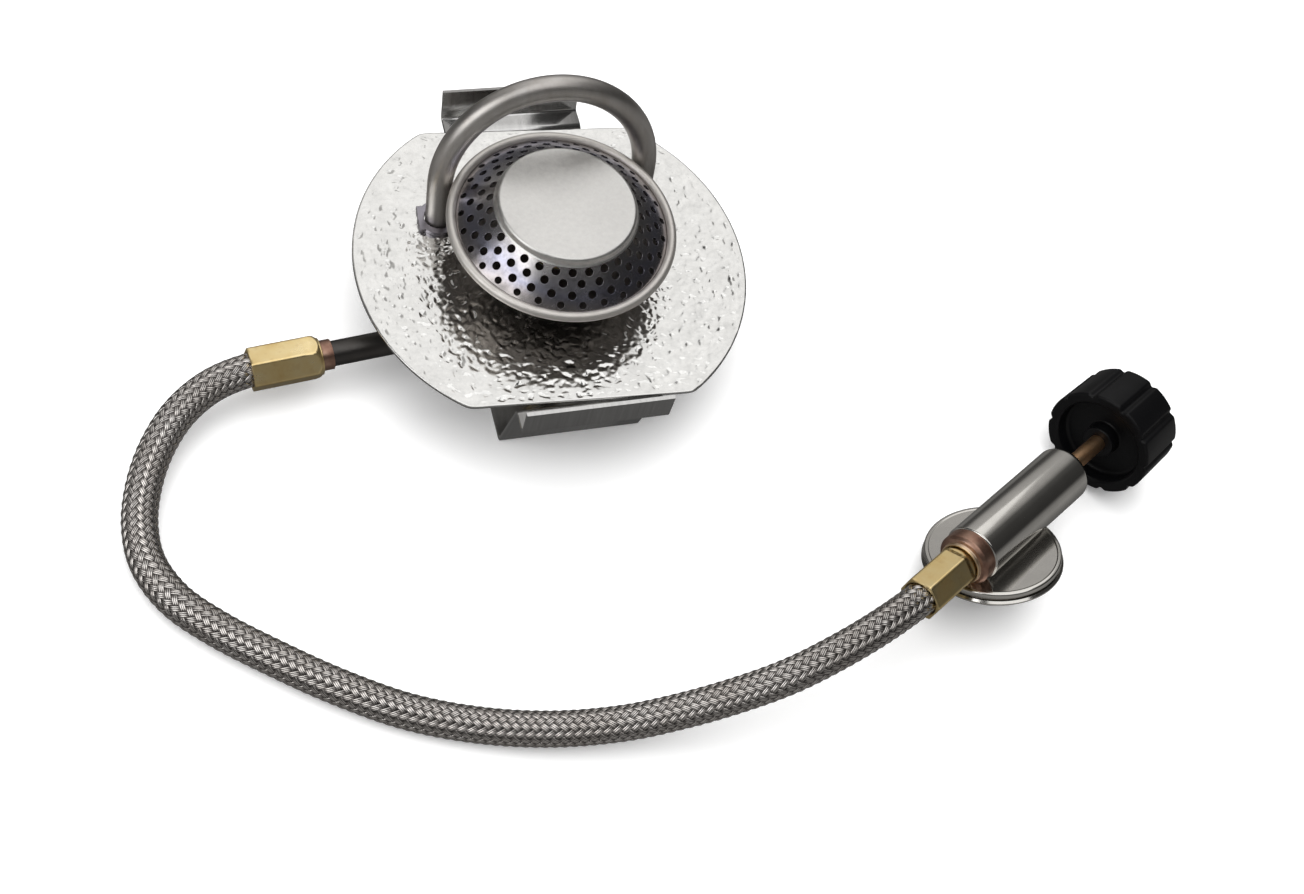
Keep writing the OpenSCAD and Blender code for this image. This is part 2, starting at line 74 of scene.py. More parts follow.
def make_camera():
    """Camera fitted to the photograph."""
    data = bpy.data.cameras.new("camera")
    data.sensor_width = SENSOR_WIDTH
    data.lens = FOCAL_LENGTH
    data.clip_start = 0.01
    data.clip_end = 20
    camera = bpy.data.objects.new("camera", data)
    axes = Matrix((CAMERA_RIGHT, CAMERA_UP, CAMERA_BACK)).transposed()
    place = Matrix.Translation(Vector(CAMERA_AT) * MM)
    camera.matrix_world = place @ axes.to_quaternion().normalized().to_matrix().to_4x4()
    bpy.context.scene.collection.objects.link(camera)
    bpy.context.scene.camera = camera


make_camera()
bpy.context.scene.view_settings.view_transform = "Standard"

# ---------------------------------------------------------------- mesh helpers


def make_piece(name, verts, faces, body="burner", sharp=38, replaces=()):
    """A mesh piece from points in millimetres, smooth apart from edges sharper than `sharp` degrees.

    Its faces are turned to look outwards.
    """
    mesh = bpy.data.meshes.new(name)
    mesh.from_pydata((np.asarray(verts, float) * MM).tolist(), [], faces)
    mesh.validate()
    solid = bmesh.new()
    solid.from_mesh(mesh)
    bmesh.ops.recalc_face_normals(solid, faces=solid.faces)
    solid.to_mesh(mesh)
    solid.free()
    mesh.update()
    mesh.shade_smooth()
    mesh.set_sharp_from_angle(angle=math.radians(sharp))
    piece = bpy.data.objects.new(name, mesh)
    bpy.context.scene.collection.objects.link(piece)
    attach(piece, body)
    if replaces:
        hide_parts(*replaces)
    return piece


def set_values(piece, name, values):
    """Store one number for each point of a piece, for its material to read."""
    attribute = piece.data.attributes.new(name, "FLOAT", "POINT")
    attribute.data.foreach_set("value", np.asarray(values).astype(np.float32))


def grid_faces(rows, cols, closed_rows=False, closed_cols=True):
    """Quads over a grid of rows by cols points, wrapped where it is closed."""
    faces = []
    for i in range(rows if closed_rows else rows - 1):
        a = i * cols
        b = ((i + 1) % rows) * cols
        for k in range(cols if closed_cols else cols - 1):
            n = (k + 1) % cols
            faces.append((a + k, a + n, b + n, b + k))
    return faces


def tube_faces(rows, cols):
    """Faces of a capped tube of rows rings of cols points."""
    last = (rows - 1) * cols
    return grid_faces(rows, cols) + [tuple(range(cols - 1, -1, -1)), tuple(range(last, last + cols))]


def turn_angles(steps):
    """Even angles round a full turn."""
    return np.linspace(0, TAU, steps, endpoint=False)


def turned_rows(rows, angles):
    """Rings of points about Z; each row is (radius, height), with one radius or one for each angle."""
    rings = []
    for r, z in rows:
        r = np.maximum(r * np.ones(len(angles)), LEAST_R)
        rings.append(np.column_stack([np.cos(angles) * r, np.sin(angles) * r, np.full(len(angles), z)]))
    return np.vstack(rings)


def lathe(profile, steps, closed=True):
    """Points and faces of a profile of (radius, height) turned about Z."""
    return turned_rows(profile, turn_angles(steps)), grid_faces(len(profile), steps, closed_rows=closed)


def corner(a, b, c):
    """Direction into corner b, the side it turns to, and the angle of the turn."""
    into, away = (b - a) / np.linalg.norm(b - a), (c - b) / np.linalg.norm(c - b)
    turn = math.acos(max(-1, min(1, float(into @ away))))
    side = away - into * (into @ away)
    length = np.linalg.norm(side)
    return into, side / length if length else side, turn


def rounded(points, radius, steps=4):
    """A profile whose inner corners are rounded; radius is one number or one for each point."""
    straight, share = 0.02, 0.49  # a turn too small to round; the most of an edge that a corner takes
    radii = radius if hasattr(radius, "__len__") else [radius] * len(points)
    out = [points[0]]
    for i in range(1, len(points) - 1):
        p, a, b = (np.array(points[j], float) for j in (i, i - 1, i + 1))
        before, after = np.linalg.norm(p - a), np.linalg.norm(b - p)
        into, side, turn = corner(a, p, b)
        if turn < straight or radii[i] <= 0:
            out.append(tuple(p))
            continue
        reach = min(radii[i] * math.tan(turn / 2), share * before, share * after)
        r = reach / math.tan(turn / 2)
        for t in np.linspace(0, turn, steps + 1):
            out.append(tuple(p - into * reach + into * r * math.sin(t) + side * r * (1 - math.cos(t))))
    out.append(points[-1])
    return out


def placed(verts, matrix):
    """Points carried by a 4 by 4 matrix in millimetres."""
    m = np.array(matrix)
    return np.asarray(verts, float) @ m[:3, :3].T + m[:3, 3]


def joined(*parts):
    """Several (verts, faces) pairs as one."""
    verts, faces, start = [], [], 0
    for v, f in parts:
        verts.append(np.asarray(v, float))
        faces += [tuple(i + start for i in face) for face in f]
        start += len(v)
    return np.vstack(verts), faces


def axis_frame(point, direction):
    """Matrix that carries +Z to a direction through a point, in millimetres."""
    turn = Vector((0, 0, 1)).rotation_difference(Vector(direction).normalized())
    return Matrix.Translation(Vector(point)) @ turn.to_matrix().to_4x4()


def carried_frames(points):
    """Tangents and two side vectors at each point of a line, turned as little as possible."""
    p = np.asarray(points, float)
    tangent = np.gradient(p, axis=0)
    tangent /= np.linalg.norm(tangent, axis=1)[:, None]
    side = np.zeros_like(p)
    last = np.array([0.0, 0.0, 1.0])
    for i, t in enumerate(tangent):
        last = last - t * (t @ last)
        last /= np.linalg.norm(last)
        side[i] = last
    return tangent, side, np.cross(tangent, side)


def resampled(points, step):
    """Points at an even step along a polyline."""
    p = np.asarray(points, float)
    along = np.concatenate([[0], np.cumsum(np.linalg.norm(np.diff(p, axis=0), axis=1))])
    count = max(2, int(round(along[-1] / step)) + 1)
    at = np.linspace(0, along[-1], count)
    return np.column_stack([np.interp(at, along, p[:, k]) for k in range(3)])


def smooth_route(points, per_span=24):
    """A centripetal Catmull-Rom curve through points."""
    p = [2 * np.array(points[0], float) - np.array(points[1], float)]
    p += [np.array(q, float) for q in points]
    p += [2 * p[-1] - p[-2]]
    out = []
    for i in range(1, len(p) - 2):
        q = p[i - 1 : i + 3]
        t = [0.0]
        for a, b in zip(q, q[1:]):
            t.append(t[-1] + math.sqrt(np.linalg.norm(b - a)))
        for u in np.linspace(t[1], t[2], per_span, endpoint=False):
            a1 = (t[1] - u) / (t[1] - t[0]) * q[0] + (u - t[0]) / (t[1] - t[0]) * q[1]
            a2 = (t[2] - u) / (t[2] - t[1]) * q[1] + (u - t[1]) / (t[2] - t[1]) * q[2]
            a3 = (t[3] - u) / (t[3] - t[2]) * q[2] + (u - t[2]) / (t[3] - t[2]) * q[3]
            b1 = (t[2] - u) / (t[2] - t[0]) * a1 + (u - t[0]) / (t[2] - t[0]) * a2
            b2 = (t[3] - u) / (t[3] - t[1]) * a2 + (u - t[1]) / (t[3] - t[1]) * a3
            out.append((t[2] - u) / (t[2] - t[1]) * b1 + (u - t[1]) / (t[2] - t[1]) * b2)
    out.append(p[-2])
    return np.array(out)


def bend(a, b, c, radius, steps):
    """Centre points of a bend of a radius at corner b."""
    a, b, c = (np.array(q, float) for q in (a, b, c))
    into, side, turn = corner(a, b, c)
    start = b - into * radius * math.tan(turn / 2)
    angles = np.linspace(0, turn, steps + 1)
    return [start + into * radius * math.sin(t) + side * radius * (1 - math.cos(t)) for t in angles]


def rings_round(line, side, up, radius, steps):
    """Points of rings of a radius round each point of a line."""
    angles = turn_angles(steps)
    ring = side[:, None] * np.cos(angles)[None, :, None] + up[:, None] * np.sin(angles)[None, :, None]
    return (line[:, None] + radius * ring).reshape(-1, 3)


# ---------------------------------------------------------------- hose (a cord)

# Route of the hose's centreline, as in the CAD model
HOSE_ROUTE = [
    (-64.2, -16.8, 12), (-75.1, -18.5, 12), (-84, -21.5, 11), (-91.5, -27, 9.5), (-97, -34.5, 8),
    (-100.8, -43.5, 6.4), (-102.5, -53, 5), (-101.5, -62.5, 4.3), (-96.5, -72, 4.2),
    (-88, -80.2, 4.2), (-76, -89, 4.2), (-63, -97.5, 4.2), (-49, -105, 4.2), (-34.1, -110.4, 4.8),
    (-18.5, -114, 6.3), (-3.1, -115.7, 8.8), (10.2, -115.8, 12.2), (22.5, -115.2, 16.2),
    (34.5, -113.7, 20.2), (46, -110.5, 22.8), (57.7, -106, 24.2), (69.1, -100.3, 23.9),
    (78.3, -94.5, 22.7),
]
HOSE_D = 8.3


def make_hose():
    """Rubber core inside a braid of flat strands that pass over two and under two."""
    carriers = 16  # strands in each direction
    lead = 34.0  # length of one turn of a strand
    wires, wire_steps = 3, 4  # wires side by side in a strand, and the facets of each
    strand_w, strand_back = 1.32, -0.02  # width of a strand, and its flat back
    wire_t, crown = 0.11, 0.17  # how far the wires, and the strand's middle, stand up
    lift = 0.17  # how far a strand rises and dips as it is woven
    # painted shade added where a strand dips, between its wires and at its back
    dip_shade, gap_shade, back_shade = 0.62, 0.35, 0.6
    core_gap, core_steps = 0.24, 24  # how far the core lies under the strands, and its facets
    step = 0.42  # along the hose
    mean_r = HOSE_D / 2 - lift - wire_t - crown
    line = resampled(smooth_route(HOSE_ROUTE), step)
    length = float(np.linalg.norm(np.diff(line, axis=0), axis=1).sum())
    tangent, side, up = carried_frames(line)
    s = np.linspace(0, length, len(line))
    core = rings_round(line, side, up, mean_r - core_gap, core_steps)
    parts = [(core, tube_faces(len(line), core_steps))]
    shade_depths = [np.ones(len(line) * core_steps)]
    # cross-section of a strand: the tops of its wires, then a flat back
    across = np.linspace(-0.5, 0.5, wires * wire_steps + 1)
    crest = np.abs(np.sin(np.linspace(0, wires * math.pi, len(across))))
    section_w = np.concatenate([across, [0.5, -0.5]]) * strand_w
    section_t = np.concatenate([crest * wire_t + (1 - 4 * across**2) * crown, [strand_back] * 2])
    # painted shade between the wires and at the strand's back
    valley_shade = np.concatenate([(1 - crest) * gap_shade, [back_shade] * 2])
    cols = len(section_w)
    helix = math.atan2(TAU * mean_r, lead)
    crossing = 2 * carriers * s / lead
    for hand in (1, -1):
        for k in range(carriers):
            # two over, two under: one wave for every four crossings
            wave = hand * np.cos(TAU * (hand * crossing + 2 * k - 0.5) / 4)
            turn = hand * TAU * s / lead + TAU * k / carriers
            r = mean_r + (lift * wave)[:, None] + section_t[None, :]
            # the strand's width lies across its own direction
            angle = turn[:, None] + section_w[None, :] * math.cos(helix) / mean_r
            slide = np.repeat(-hand * section_w[None, :] * math.sin(helix), len(line), axis=0)
            ring = side[:, None] * np.cos(angle)[..., None] + up[:, None] * np.sin(angle)[..., None]
            at = line[:, None] + ring * r[..., None] + tangent[:, None] * slide[..., None]
            parts.append((at.reshape(-1, 3), tube_faces(len(line), cols)))
            # painted shade, darker where the strand dips under the others
            shade_depths.append((np.clip(0.5 - dip_shade * wave, 0, 1)[:, None] + valley_shade[None, :]).reshape(-1))
    verts, faces = joined(*parts)
    piece = make_piece("hose", verts, faces, sharp=60, replaces=("braided_hose",))
    # how deep each point lies in the braid, the core deepest, for painted shade in its hollows
    set_values(piece, "depth", np.concatenate(shade_depths))
    return piece, line


hose, hose_line = make_hose()

# ---------------------------------------------------------------- ferrules

FERRULE_AF = 9.7
FERRULE_LEN = 17
SPIGOT_R = 4.5
SOCKET_R, SOCKET_DEPTH = 4.22, 11
FERRULE_BORE_R = 3.2
FEED_TURN = math.radians(9)
FEED_DIR = Vector((math.cos(FEED_TURN), math.sin(FEED_TURN), 0))
FEED_END = Vector((-55.6, -15.4, 12))
NIPPLE_LEN = 2.7
VALVE_AT = (94.7, -84.3, 20.7)
VALVE_TURN = (-26, 6, 32)
VALVE = Matrix.Translation(VALVE_AT) @ Euler([math.radians(a) for a in VALVE_TURN]).to_matrix().to_4x4()
VALVE_MOUTH = -30.4


def along_valve(x):
    """Frame whose +Z runs along the valve's own +X, starting at x millimetres."""
    return VALVE @ Matrix.Translation((x, 0, 0)) @ Matrix.Rotation(math.pi / 2, 4, "Y")


def hexagon_radius(angle, flats, corner):
    """Radius of a hexagon with a flat towards angle 0, eased at its corners."""
    a = (angle + math.pi / 6) % (math.pi / 3) - math.pi / 6
    return np.minimum(flats / 2 / np.cos(a), flats / 2 / math.cos(math.pi / 6) - corner)


def make_ferrule(name, matrix, node, spigot):
    """Hexagon with a socket for the hose, and at its other end a turned chamfer and spigot."""
    ease = 0.15  # bevel at both rims
    steps = 144
    angles = turn_angles(steps)
    hexa = hexagon_radius(angles, FERRULE_AF, 0.12)
    chamfer = FERRULE_LEN - spigot
    # mouth and sides of the hexagon
    rows = [(hexa - ease, 0), (hexa - 0.06, 0.05), (hexa, ease)]
    rows += [(hexa, z) for z in np.linspace(0.6, FERRULE_LEN - 2.6, 8)]
    # the turned chamfer cuts the hexagon's corners back towards the spigot
    for z in (2.2, 1.7, 1.3, 1.0, 0.8, 0.6, 0.45, 0.3, 0.15, 0.05, 0):
        limit = FERRULE_AF / 2 - 0.35 + math.sqrt(z) * 0.3 + z * 0.5
        rows.append((np.minimum(hexa, limit), chamfer - z))
    rows += [(np.minimum(hexa, SPIGOT_R), chamfer + 0.02), (np.minimum(hexa, SPIGOT_R), FERRULE_LEN - ease),
             (np.minimum(hexa, SPIGOT_R - ease), FERRULE_LEN)]
    # bore and socket
    rows += [(FERRULE_BORE_R, FERRULE_LEN), (FERRULE_BORE_R, SOCKET_DEPTH), (SOCKET_R, SOCKET_DEPTH),
             (SOCKET_R, 0.5), (SOCKET_R + 0.28, 0)]
    verts = placed(turned_rows(rows, angles), matrix)
    faces = grid_faces(len(rows), steps, closed_rows=True)
    return make_piece(name, verts, faces, sharp=30, replaces=(node,))


feed_mouth = FEED_END - FEED_DIR * (NIPPLE_LEN + FERRULE_LEN)
ferrule_a = make_ferrule("burner_ferrule", axis_frame(feed_mouth, FEED_DIR), "ferrule_burner", 0.4)
ferrule_b = make_ferrule("valve_ferrule", along_valve(VALVE_MOUTH), "ferrule_valve", 1.4)

# ---------------------------------------------------------------- reflector plate

PLATE_TOP = 25.0
PLATE_T = 1.0
PLATE_R = 49.0
PLATE_FLAT = 40.75
PLATE_HOLE_R = 9.1
PLATE_CORNER_POWER = 130  # the higher, the sharper the corners between flats and round
STUCCO_SEED = 1794868417  # fixes the offsets of noise_vector, which otherwise come from the clock


def stucco(x, y):
    """Height of the sheet's pressed pattern at a point: soft swells cut by broken creases."""
    cell, crease_w, crease_depth = 2.1, 0.22, 0.4
    p = Vector((x, y, 0))
    q = p + noise.noise_vector(p * 0.35) * 0.9
    near = noise.voronoi(q / cell, distance_metric="DISTANCE")[0]
    crease = max(0.0, 1 - (near[1] - near[0]) / crease_w)
    gate = max(0.0, noise.noise(p * 0.6 + Vector((7, 3, 1))) + 0.22)
    soft = noise.noise(p / cell) * 0.10 + noise.noise(p / 1.1 + Vector((3, 9, 4))) * 0.065
    return soft - crease * crease * gate * crease_depth


def plate_edge(angle):
    """Distance from the axis to the plate's outline, with eased corners."""
    flat = PLATE_FLAT / max(abs(math.sin(angle)), 1e-6)
    power = PLATE_CORNER_POWER
    return (PLATE_R ** -power + flat ** -power) ** (-1 / power)


def make_plate():
    """Sheet pressed with the stucco pattern on both faces, flat at its edge."""
    cols, rings = 640, 112
    slim, bevel, edge_out = 0.03, 0.16, 0.1
    calm = 30  # the pattern dies out over the last 1/30 of the width
    spokes = [TAU * k / cols for k in range(cols)]
    top = []
    for i in range(rings):
        t = i / (rings - 1)
        for a in spokes:
            r = PLATE_HOLE_R + (plate_edge(a) - PLATE_HOLE_R) * t
            x, y = r * math.cos(a), r * math.sin(a)
            top.append((x, y, PLATE_TOP - slim + stucco(x, y) * min(1, (1 - t) * calm)))
    edge = []
    for z in (PLATE_TOP - bevel, PLATE_TOP - PLATE_T + bevel):
        for a in spokes:
            r = plate_edge(a) + edge_out
            edge.append((r * math.cos(a), r * math.sin(a), z))
    top = np.array(top)
    under = (top - (0, 0, PLATE_T - 2 * slim)).reshape(rings, cols, 3)[::-1].reshape(-1, 3)
    # order: top rings from the hole out, the edge, the under rings back in
    verts = np.vstack([top, np.array(edge), under])
    faces = grid_faces(2 * rings + 2, cols, closed_rows=True)
    return make_piece("reflector_plate", verts, faces, sharp=70,
                      replaces=("heat_reflector",))


noise.seed_set(STUCCO_SEED)
plate = make_plate()

# ---------------------------------------------------------------- strap

STRAP_W = 36.0
STRAP_T = 1.0
STRAP_TURN = math.radians(3)
STRAP_SHIFT = (-0.5, 0.3, 0)
BASE_HALF = 36.0
LIP_HALF = 47.7
LIP_RISE = 6.8
FAR_LIP_LEAN = 1.8
STRAP_BEND_R = 1.3
STRAP_EASE = 0.16  # bevel along the strap's edges


def strip(path, thickness):
    """Closed outline of a strip about a polyline in the plane."""
    p = np.array(path, float)
    d = np.gradient(p, axis=0)
    d /= np.linalg.norm(d, axis=1)[:, None]
    n = np.column_stack([-d[:, 1], d[:, 0]])
    return np.vstack([p + n * thickness / 2, (p - n * thickness / 2)[::-1]])


def make_strap():
    """Sprung stainless strap: flat base, sloping legs, flanges and lips, of which the far one leans out."""
    flange = PLATE_TOP - PLATE_T - STRAP_T / 2
    lip, lip_top = LIP_HALF - STRAP_T / 2, PLATE_TOP + LIP_RISE
    half = [(BASE_HALF - STRAP_T / 2, STRAP_T / 2), (PLATE_FLAT + 0.75, flange), (lip, flange)]
    near, far = half + [(lip, lip_top)], half + [(lip + FAR_LIP_LEAN, lip_top)]
    path = rounded([(-y, z) for y, z in reversed(near)] + far, STRAP_BEND_R, steps=7)
    edge = STRAP_W / 2
    rows = [(edge, 2 * STRAP_EASE), (edge - STRAP_EASE * 0.3, STRAP_EASE), (edge - STRAP_EASE, 0)]
    rows = [(-x, thinner) for x, thinner in rows] + rows[::-1]
    outlines = [(x, strip(path, STRAP_T - thinner)) for x, thinner in rows]
    n = len(outlines[0][1])
    verts = np.vstack([np.column_stack([np.full(n, x), line]) for x, line in outlines])
    faces = grid_faces(len(rows), n)
    # close the two sides with quads across the thickness
    for base, flip in ((0, False), ((len(rows) - 1) * n, True)):
        for i in range(n // 2 - 1):
            quad = (base + i, base + i + 1, base + n - 2 - i, base + n - 1 - i)
            faces.append(quad if flip else quad[::-1])
    place = Matrix.Translation(STRAP_SHIFT) @ Matrix.Rotation(STRAP_TURN, 4, "Z")
    return make_piece("strap", placed(verts, place), faces, sharp=40,
                      replaces=("stand_strap",))


strap = make_strap()

# ---------------------------------------------------------------- preheat tube

TUBE_R = 3.1
ARCH_R = 26.0
ARCH_LEAN = math.radians(12)
ARCH_TURN = math.radians(4)
ARCH_C = np.array([-1.1, 17.5, PLATE_TOP + 11])
FEED_Z = 12.0
FEED_RUN = 20  # from the feed's end to its first corner
FEED_CORNER_Y = -14.5  # where the feed turns towards the right leg
INLET_Z = 6.6
INLET_REACH = 5.55  # from the burner's axis to the tube's end in the jet block


def preheat_line():
    """Centreline of the tube: feed, right leg, arch, left leg and inlet, as in the CAD model."""
    arch_x = np.array([math.cos(ARCH_TURN), math.sin(ARCH_TURN), 0])
    arch_n = np.array([-math.sin(ARCH_TURN), math.cos(ARCH_TURN), 0])
    arch_up = math.cos(ARCH_LEAN) * np.array([0, 0, 1]) + math.sin(ARCH_LEAN) * arch_n
    left, right = ARCH_C - ARCH_R * arch_x, ARCH_C + ARCH_R * arch_x

    def leg(shoulder, z):
        return shoulder - arch_up * (shoulder[2] - z) / arch_up[2]

    left_low, right_low = leg(left, INLET_Z), leg(right, FEED_Z)
    inlet = np.array([-left_low[0], -left_low[1], 0])
    inlet /= np.linalg.norm(inlet)
    feed = np.array(FEED_END)
    along = np.array(FEED_DIR)
    corners = [feed, feed + along * FEED_RUN, np.array([right_low[0], FEED_CORNER_Y, FEED_Z]),
               right_low, right + ARCH_R * arch_up, left + ARCH_R * arch_up, left_low,
               np.array([0, 0, INLET_Z]) - inlet * INLET_REACH]
    radii = [0, 25, 14, 9.5, ARCH_R, ARCH_R, 9, 0]
    line = [corners[0]]
    for i in range(1, len(corners) - 1):
        line += bend(corners[i - 1], corners[i], corners[i + 1], radii[i], 26)
    line.append(corners[-1])
    kept = [line[0]]
    for p in line[1:]:
        if np.linalg.norm(p - kept[-1]) > 0.01:
            kept.append(p)
    return resampled(kept, 0.9)


def make_tube():
    """Round tube along that line; "along" runs from 0 at the feed to 1 at the inlet."""
    line = preheat_line()
    _, side, up = carried_frames(line)
    steps = 56
    verts = rings_round(line, side, up, TUBE_R, steps)
    faces = tube_faces(len(line), steps)
    piece = make_piece("loop_tube", verts, faces, sharp=50, replaces=("preheat_tube",))
    set_values(piece, "along", np.linspace(0, 1, len(line)).repeat(steps))
    return piece


tube = make_tube()

# ---------------------------------------------------------------- burner head

CAP_R = 16.4
CAP_TOP = PLATE_TOP + 22.4
TURNED_STEPS = 160


def make_cap():
    """Pressed cap: flat top, rounded shoulder and a soft step down onto the cone."""
    top, foot = CAP_TOP - 0.03, CAP_TOP - 1.72
    points = [(0, top), (CAP_R + 0.35, top), (CAP_R + 0.6, foot + 0.1), (CAP_R + 1.1, foot - 0.26),
              (CAP_R + 0.9, foot - 0.5), (0, foot - 0.5)]
    profile = rounded(points, [0, 1.15, 0.7, 0.02, 0.02, 0], steps=9)
    verts, faces = lathe(profile, TURNED_STEPS, closed=False)
    return make_piece("cap", verts, faces, sharp=50, replaces=("burner_cap",))


cap = make_cap()

# ---------------------------------------------------------------- valve

BODY_R = 7.2
BODY_BACK, BODY_FRONT = -9.6, 32.0
SPINDLE_BORE_R, SPINDLE_BORE_DEPTH = 2.75, 4
DISC_R, DISC_TOP = 16.6, -4.95
RIM_LOW, DISC_LOW = -6.4, -6.9  # undersides of the rim and of the disc inside it
UNION_LIP = -14.5
UNION_R, LIP_R, UNION_BORE_R = 6.8, 5.4, 4.7


def make_valve_housing():
    """Round barrel standing on the coupling's disc, with a bored front and a turned rim."""
    length = BODY_FRONT - BODY_BACK
    bore_r, bore_end = SPINDLE_BORE_R, length - SPINDLE_BORE_DEPTH
    points = [(0, 0), (BODY_R, 0), (BODY_R, length), (bore_r, length), (bore_r, bore_end), (0, bore_end)]
    profile = rounded(points, [0, 0.5, 2.6, 0.3, 0, 0], steps=10)
    barrel, barrel_faces = lathe(profile, TURNED_STEPS, closed=False)
    barrel = placed(barrel, Matrix.Translation((BODY_BACK, 0, 0)) @ Matrix.Rotation(math.pi / 2, 4, "Y"))
    # the barrel's underside ends inside the disc, wherever the disc is under it
    over_disc = np.hypot(barrel[:, 0], barrel[:, 1]) < DISC_R + 1
    barrel[:, 2] = np.where(over_disc, np.maximum(barrel[:, 2], DISC_LOW + 0.02), barrel[:, 2])
    inner = DISC_R - 1.2
    points = [(0, DISC_TOP), (DISC_R - 1.25, DISC_TOP), (DISC_R - 0.95, DISC_TOP + 0.12),
              (DISC_R, DISC_TOP + 0.02), (DISC_R, RIM_LOW), (inner, RIM_LOW), (inner, DISC_LOW),
              (0, DISC_LOW)]
    profile = rounded(points, [0, 0.3, 0.3, 0.62, 0.25, 0.15, 0, 0], steps=6)
    verts, faces = joined((barrel, barrel_faces), lathe(profile, TURNED_STEPS, closed=False))
    return make_piece("valve_housing", placed(verts, VALVE), faces, sharp=35,
                      replaces=("valve_body",))


housing = make_valve_housing()


def make_union():
    """Brazed cup that the valve ferrule ends in: a bright raised lip round a dark recess."""
    end = BODY_BACK - UNION_LIP
    recess, recess_r = 2.6, 4.95
    points = [(UNION_BORE_R, recess), (recess_r, recess), (recess_r, 0), (LIP_R, 0), (LIP_R, 0.85),
              (6.2, 1.05), (UNION_R, 1.9), (UNION_R, end), (UNION_BORE_R, end), (UNION_BORE_R, recess)]
    profile = rounded(points, [0, 0.1, 0.15, 0.18, 0.25, 0.5, 0.6, 0.05, 0, 0], steps=5)
    verts, faces = lathe(profile[:-1], 144)
    lip = (verts[:, 2] < 0.8) & (np.hypot(verts[:, 0], verts[:, 1]) > recess_r - 0.05)
    verts = placed(verts, along_valve(UNION_LIP))
    piece = make_piece("union_ring", verts, faces, replaces=("union_collar",))
    set_values(piece, "lip", lip)
    return piece


union_ring = make_union()

# ---------------------------------------------------------------- knob

KNOB_R, KNOB_TAPER, KNOB_LEN = 14.5, 0.4, 15.8
KNOB_BACK, KNOB_HOLLOW = 46.6, 4.0
KNOB_GROOVES = 10
KNOB_PHASE = math.radians(25)
GROOVE_DEPTH, GROOVE_HALF = 0.8, 1.5


def make_knob():
    """Moulded knob: ten broad lands with rounded flutes, a hollow back and a dished front."""
    steps = 480
    angles = turn_angles(steps)
    pitch = TAU / KNOB_GROOVES
    off = (angles - KNOB_PHASE + pitch / 2) % pitch - pitch / 2
    arc = np.abs(off) * KNOB_R / GROOVE_HALF
    flute = np.where(arc < 1, 0.5 + 0.5 * np.cos(np.pi * np.clip(arc, 0, 1)), 0) * GROOVE_DEPTH
    back_r = KNOB_R - 1.6
    outer = rounded([(back_r, 0), (KNOB_R, 0), (KNOB_R - KNOB_TAPER, KNOB_LEN), (11.6, KNOB_LEN),
                     (11.0, KNOB_LEN - 0.35), (0, KNOB_LEN - 0.6)], [0, 0.7, 1.5, 0.4, 0.4, 0], steps=7)
    hub_r = 4.2
    points = [(0, 0.9), (2.2, 0.9), (2.2, 0.4), (hub_r, 0.4), (hub_r, KNOB_HOLLOW),
              (KNOB_R - 3.2, KNOB_HOLLOW), (KNOB_R - 3.0, 0.5), (KNOB_R - 2.4, 0), (back_r, 0)]
    inner = rounded(points, [0, 0.1, 0.2, 0.4, 0.6, 1.0, 0.4, 0.3, 0], steps=5)
    # the flutes fade out from the rim towards the middle
    flute_from, flute_over = 12.1, 1.6
    rows = []
    for r, z in outer[::-1] + inner[-2::-1]:
        share = min(1, max(0, (r - flute_from) / flute_over))
        rows.append((r - flute * share, z))
    verts = placed(turned_rows(rows, angles), along_valve(KNOB_BACK))
    return make_piece("knob", verts, grid_faces(len(rows), steps), body="knob", sharp=50,
                      replaces=("control_knob",))


knob = make_knob()

# ---------------------------------------------------------------- materials


